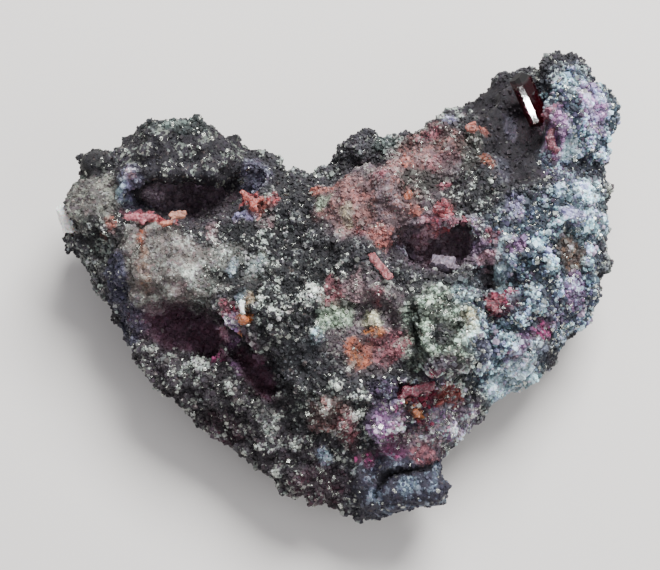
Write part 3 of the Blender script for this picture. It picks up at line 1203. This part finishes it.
def crystalMaterial(name, deep, bright, roughness, dust):
    material, tree, shader = newMaterial(name + "Finish")
    w = Wires(tree)
    soft = crystalWear["softness"]
    body = w.mixed(w.ranged(w.noise(0.8, 4.0, 0.6), 0.0, 1.0, 0.3, 0.7), opaque(deep),
                   opaque(bright))
    flaws = w.below(w.noise(0.33, 4.0, 0.65), crystalWear["flawShare"], soft)
    body = w.mixed(w.maths("MULTIPLY", flaws, crystalWear["flawCover"]), body,
                   opaque(crystalWear["flaw"]))
    share = w.ranged(dust, *crystalWear["speckShare"])
    specks = w.below(w.noise(0.45, 5.0, 0.7), share, soft)
    dusted = w.mixed(w.maths("MULTIPLY", specks, crystalWear["speckCover"]), body,
                     opaque(crystalWear["speck"]))
    w.plug(shader.inputs["Base Color"], dusted)
    smoothest, roughest = crystalWear["roughnessSpread"]
    w.plug(shader.inputs["Roughness"],
           w.ranged(w.noise(0.4, 3.0), roughness + smoothest, roughness + roughest))
    w.plug(shader.inputs["Normal"], w.bump(w.noise(0.3, 4.0, 0.7), crystalWear["bump"]))
    return material


clearLook = {
    "deep": (0.03, 0.002, 0.005, 1),
    "veil": (0.07, 0.002, 0.007, 1),
    "veilShare": 0.45,
    "roughness": (0.02, 0.05),
    "specular": 0.14,
    "transmission": 0.85,
    "refraction": 1.5,
    # its upper end is etched dull, round this place
    "dullPlace": (28.2, 31.2, 26.0),
    "dullInner": 1.6,
    "dullOuter": 2.4,
    "dullRoughness": 0.75,
    "dullSpecular": 0.03,
    "dullColour": (0.002, 0.0007, 0.001, 1),
}


def glassMaterial():
    # the one large clear crystal, dark red all through
    material, tree, shader = newMaterial("clearRealgar")
    w = Wires(tree)
    veil = w.below(w.noise(0.7, 4.0, 0.6), clearLook["veilShare"], 0.1)
    body = w.mixed(veil, clearLook["veil"], clearLook["deep"])
    away = tree.nodes.new("ShaderNodeVectorMath")
    away.operation = "DISTANCE"
    w.plug(away.inputs[0], w.objectPoint())
    w.plug(away.inputs[1], Vector(clearLook["dullPlace"]) * mm)
    glassy = w.ranged(away.outputs["Value"], 0.0, 1.0, clearLook["dullInner"] * mm,
                      clearLook["dullOuter"] * mm)
    gloss = w.ranged(w.noise(1.2, 2.0), *clearLook["roughness"])
    w.plug(shader.inputs["Roughness"],
           w.mixed(glassy, w.grey(clearLook["dullRoughness"]), w.grey(gloss)))
    w.plug(shader.inputs["Base Color"], w.mixed(glassy, clearLook["dullColour"], body))
    w.plug(shader.inputs["Specular IOR Level"],
           w.ranged(glassy, clearLook["dullSpecular"], clearLook["specular"]))
    w.plug(shader.inputs["Transmission Weight"], clearLook["transmission"])
    w.plug(shader.inputs["IOR"], clearLook["refraction"])
    return material


calciteDirt = {
    # the dirt's colour, and the noise levels between which it gives way to white
    "calcite_edge": ("4a484b", (0.29, 0.4)),
    "calcite_grain": ("b8b5b2", (0.36, 0.5)),
}
calciteLook = {
    "white": "f8f8f4",
    "roughness": (0.25, 0.6),
    "bump": 0.1,
    "glow": 0.25,                  # how much light spreads below its surface
    "glowReach": 2.0,              # and how far, in mm
}


def calciteMaterial(name, dirt, white):
    material, tree, shader = newMaterial(name + "Finish")
    w = Wires(tree)
    cleanShare = w.ranged(w.noise(0.6, 5.0, 0.7), 0, 1, *white)
    w.plug(shader.inputs["Base Color"],
           w.mixed(cleanShare, opaque(dirt), opaque(calciteLook["white"])))
    w.plug(shader.inputs["Roughness"], w.ranged(w.noise(0.5, 3.0), *calciteLook["roughness"]))
    w.plug(shader.inputs["Normal"], w.bump(w.noise(0.25, 4.0), calciteLook["bump"]))
    w.plug(shader.inputs["Subsurface Weight"], calciteLook["glow"])
    w.plug(shader.inputs["Subsurface Scale"], calciteLook["glowReach"] * mm)
    return material


def dress(thing, material):
    thing.data.materials.clear()
    thing.data.materials.append(material)


dress(rock, stoneMaterial("pyriteGround", False))
looseStone = stoneMaterial("pyriteGrain", True)
for piece in grains:
    dress(piece, looseStone)
crust = crustMaterial()
for piece in crusts:
    dress(piece, crust)
for name, look in crystalColours.items():
    dress(weathered[name], crystalMaterial(name, *look))
dress(clearPiece, glassMaterial())
for name, look in calciteDirt.items():
    dress(weathered[name], calciteMaterial(name, *look))
print("materials done")


# floor, light and camera

studio = {
    "floor": "d9d6d2",
    "floorSize": 3.0,
    "floorRoughness": 0.9,
    "floorSpecular": 0.1,
    "sky": (0.95, 0.94, 1.0, 1),
    "world": 0.62,
    "aim": (0, 0, 0.015),
    "keySize": 0.30,
    "keyPower": 9.0,
    "keyFrom": (0.16, 0.30, 0.50),
    "fillSize": 0.5,
    "fillPower": 2.0,
    "fillFrom": (0.5, -0.35, 0.5),
}


def areaLight(name, size, power, place):
    bpy.ops.object.light_add(type="AREA", location=place)
    lamp = bpy.context.object
    lamp.name = name
    lamp.data.size = size
    lamp.data.energy = power
    towards = Vector(studio["aim"]) - Vector(place)
    lamp.rotation_euler = towards.to_track_quat("-Z", "Y").to_euler()
    return lamp


deselectAll()
bpy.ops.mesh.primitive_plane_add(size=studio["floorSize"], location=(0, 0, 0))
floor = bpy.context.object
floor.name = "floor"
floorMaterial, _, floorShader = newMaterial("paleFloor")
floorShader.inputs["Base Color"].default_value = opaque(studio["floor"])
floorShader.inputs["Roughness"].default_value = studio["floorRoughness"]
floorShader.inputs["Specular IOR Level"].default_value = studio["floorSpecular"]
dress(floor, floorMaterial)

world = bpy.data.worlds.new("studio")
bpy.context.scene.world = world
world.use_nodes = True
sky = world.node_tree.nodes["Background"]
sky.inputs["Color"].default_value = studio["sky"]
sky.inputs["Strength"].default_value = studio["world"]
areaLight("key", studio["keySize"], studio["keyPower"], studio["keyFrom"])
areaLight("fill", studio["fillSize"], studio["fillPower"], studio["fillFrom"])


glint = {
    "shift": (0.0, 0.3, 0.0),  # in mm from the middle of the face
    "distance": 0.6,
    "width": 0.0036,
    "length": 0.0062,
    "power": 0.11,
    "turn": 30,
    "broadness": 200,          # how much the size of a face counts beside its direction
}


def glintLamp():
    # a small faint lamp where the camera sees it mirrored in the broad face of the clear crystal
    crystal = nodes[clearCrystal["name"]].data
    view = (camera.location - crystal.vertices[0].co).normalized()
    face = max(crystal.polygons,
               key=lambda p: p.normal.dot(view) + glint["broadness"] * p.area)
    centre = face.center + Vector(glint["shift"]) * mm
    view = (camera.location - centre).normalized()
    normal = face.normal
    mirrored = 2 * normal.dot(view) * normal - view
    lamp = areaLight("glint", glint["width"], glint["power"], centre + mirrored * glint["distance"])
    lamp.data.shape = "RECTANGLE"
    lamp.data.size_y = glint["length"]
    lamp.rotation_euler = (-mirrored).to_track_quat("-Z", "Y").to_euler()
    lamp.rotation_euler.rotate_axis("Z", math.radians(glint["turn"]))


cameraLook = {
    # elevation in degrees, distance in m, target in mm, shift in widths of the picture
    "lens": 110,
    "sensor": 36,
    "elevation": 72,
    "distance": 0.32,
    "target": (-0.605, -0.645, 15.0),
    "shift": (-5 / 660, 2 / 660),
}
target = Vector(cameraLook["target"]) * mm
slope = math.radians(cameraLook["elevation"])
place = target + Vector((0, -math.cos(slope), math.sin(slope))) * cameraLook["distance"]
bpy.ops.object.camera_add(location=place)
camera = bpy.context.object
camera.rotation_euler = (target - place).to_track_quat("-Z", "Y").to_euler()
camera.data.lens = cameraLook["lens"]
camera.data.sensor_width = cameraLook["sensor"]
camera.data.shift_x, camera.data.shift_y = cameraLook["shift"]
camera.data.clip_start = 0.01
bpy.context.scene.camera = camera
glintLamp()
print("stage done")
